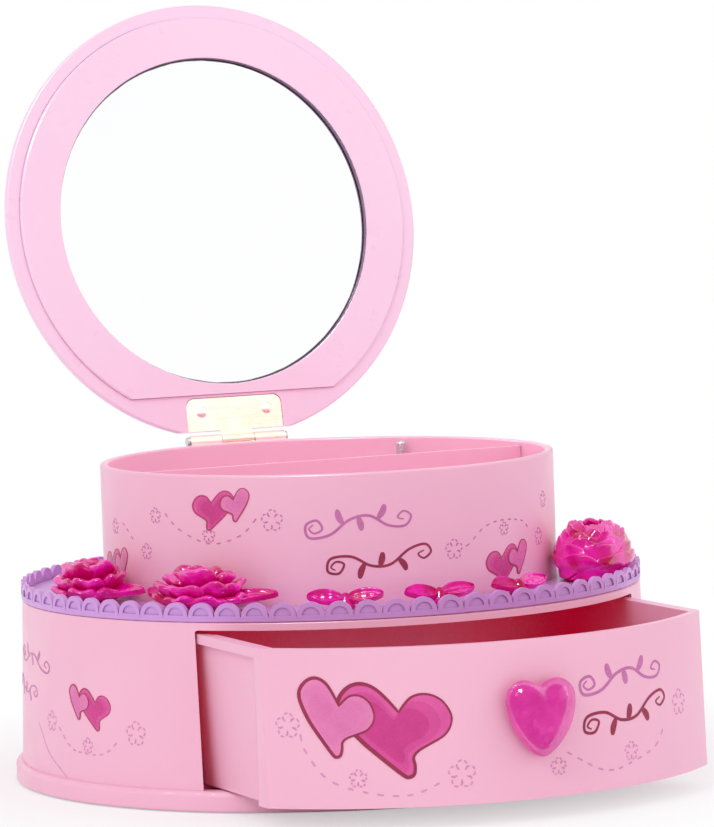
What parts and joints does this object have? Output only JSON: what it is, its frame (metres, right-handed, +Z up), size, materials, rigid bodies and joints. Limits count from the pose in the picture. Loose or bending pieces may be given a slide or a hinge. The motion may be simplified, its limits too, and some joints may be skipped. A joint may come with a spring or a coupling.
{
  "type": "musical jewellery box",
  "caption": "Round tiered jewellery box with a hinged mirror lid, a curved drawer with a heart knob, a scalloped ledge with roses and a wind-up turning dancer.",
  "frame": {"origin": "centre of the flat underside, on the surface that the box stands on", "axes": "+Z up, -Y to the front where the drawer opens, +X to the right seen from the front"},
  "size_m": [0.208, 0.2618, 0.2479],
  "materials": {
    "body_pink": "satin",
    "lid_pink": "satin",
    "lilac": "satin",
    "magenta": "clear gloss",
    "mirror": "polished",
    "foam": "matte",
    "brass": "polished",
    "steel": "bright",
    "zinc": "die cast",
    "governor_plastic": "matte",
    "dancer_white": "satin",
    "tutu_pink": "tulle"
  },
  "bodies": {
    "case": {"base_plate": "body_pink", "base_screws": "steel", "lower_tier": "body_pink", "lace_tray": "lilac", "upper_tier": "body_pink", "tier_screws": "steel", "tray_divider": "body_pink", "drawer_rails": "body_pink", "side_blossoms": "magenta", "full_rose": "magenta", "leaf_sprigs": "magenta", "case_hinge_leaf": "brass", "case_rivets": "brass", "hinge_pin": "steel", "movement_bedplate": "zinc", "movement_screws": "steel", "cylinder_brackets": "steel", "music_comb": "steel", "comb_block": "zinc", "comb_screws": "steel", "governor_housing": "governor_plastic", "spindle_bush": "brass"},
    "lid": {"lid_cover": "lid_pink", "mirror_frame": "lid_pink", "mirror_glass": "mirror", "mirror_pads": "foam", "lid_hinge_leaf": "brass", "lid_rivets": "brass"},
    "drawer": {"drawer_box": "body_pink", "heart_knob": "magenta", "knob_screw": "steel"},
    "dancer": {"spring_barrel": "zinc", "drive_spindle": "steel", "turntable": "dancer_white", "dancer_figure": "dancer_white", "dancer_tutu": "tutu_pink"},
    "cylinder": {"music_cylinder": "brass"},
    "key": {"winding_arbor": "steel", "winding_key": "steel"},
    "stop": {"stop_pin": "steel"}
  },
  "joints": [
    {"name": "lid_hinge", "type": "hinge", "parent": "case", "child": "lid", "pos_m": [0, 0.0744, 0.1017], "axis": [1, 0, 0], "range_deg": [0, 100.5]},
    {"name": "drawer_slide", "type": "slide", "parent": "case", "child": "drawer", "axis": [0, -1, 0], "range_m": [-0.0465, 0.02]},
    {"name": "dancer_spin", "type": "hinge", "parent": "case", "child": "dancer", "pos_m": [0, 0.047, 0.0278], "axis": [0, 0, 1], "continuous": true},
    {"name": "cylinder_spin", "type": "hinge", "parent": "case", "child": "cylinder", "pos_m": [0.0157, 0.047, 0.0337], "axis": [1, 0, 0], "continuous": true},
    {"name": "key_turn", "type": "hinge", "parent": "case", "child": "key", "pos_m": [0, 0.047, 0.0014], "axis": [0, 0, 1], "continuous": true},
    {"name": "stop_press", "type": "slide", "parent": "case", "child": "stop", "axis": [0, 0, -1], "range_m": [0, 0.002], "stiffness_N_per_m": 100, "springref_m": -0.002}
  ],
  "couplings": [
    {"joint": "cylinder_spin", "follows": "dancer_spin", "ratio": 2}
  ]
}
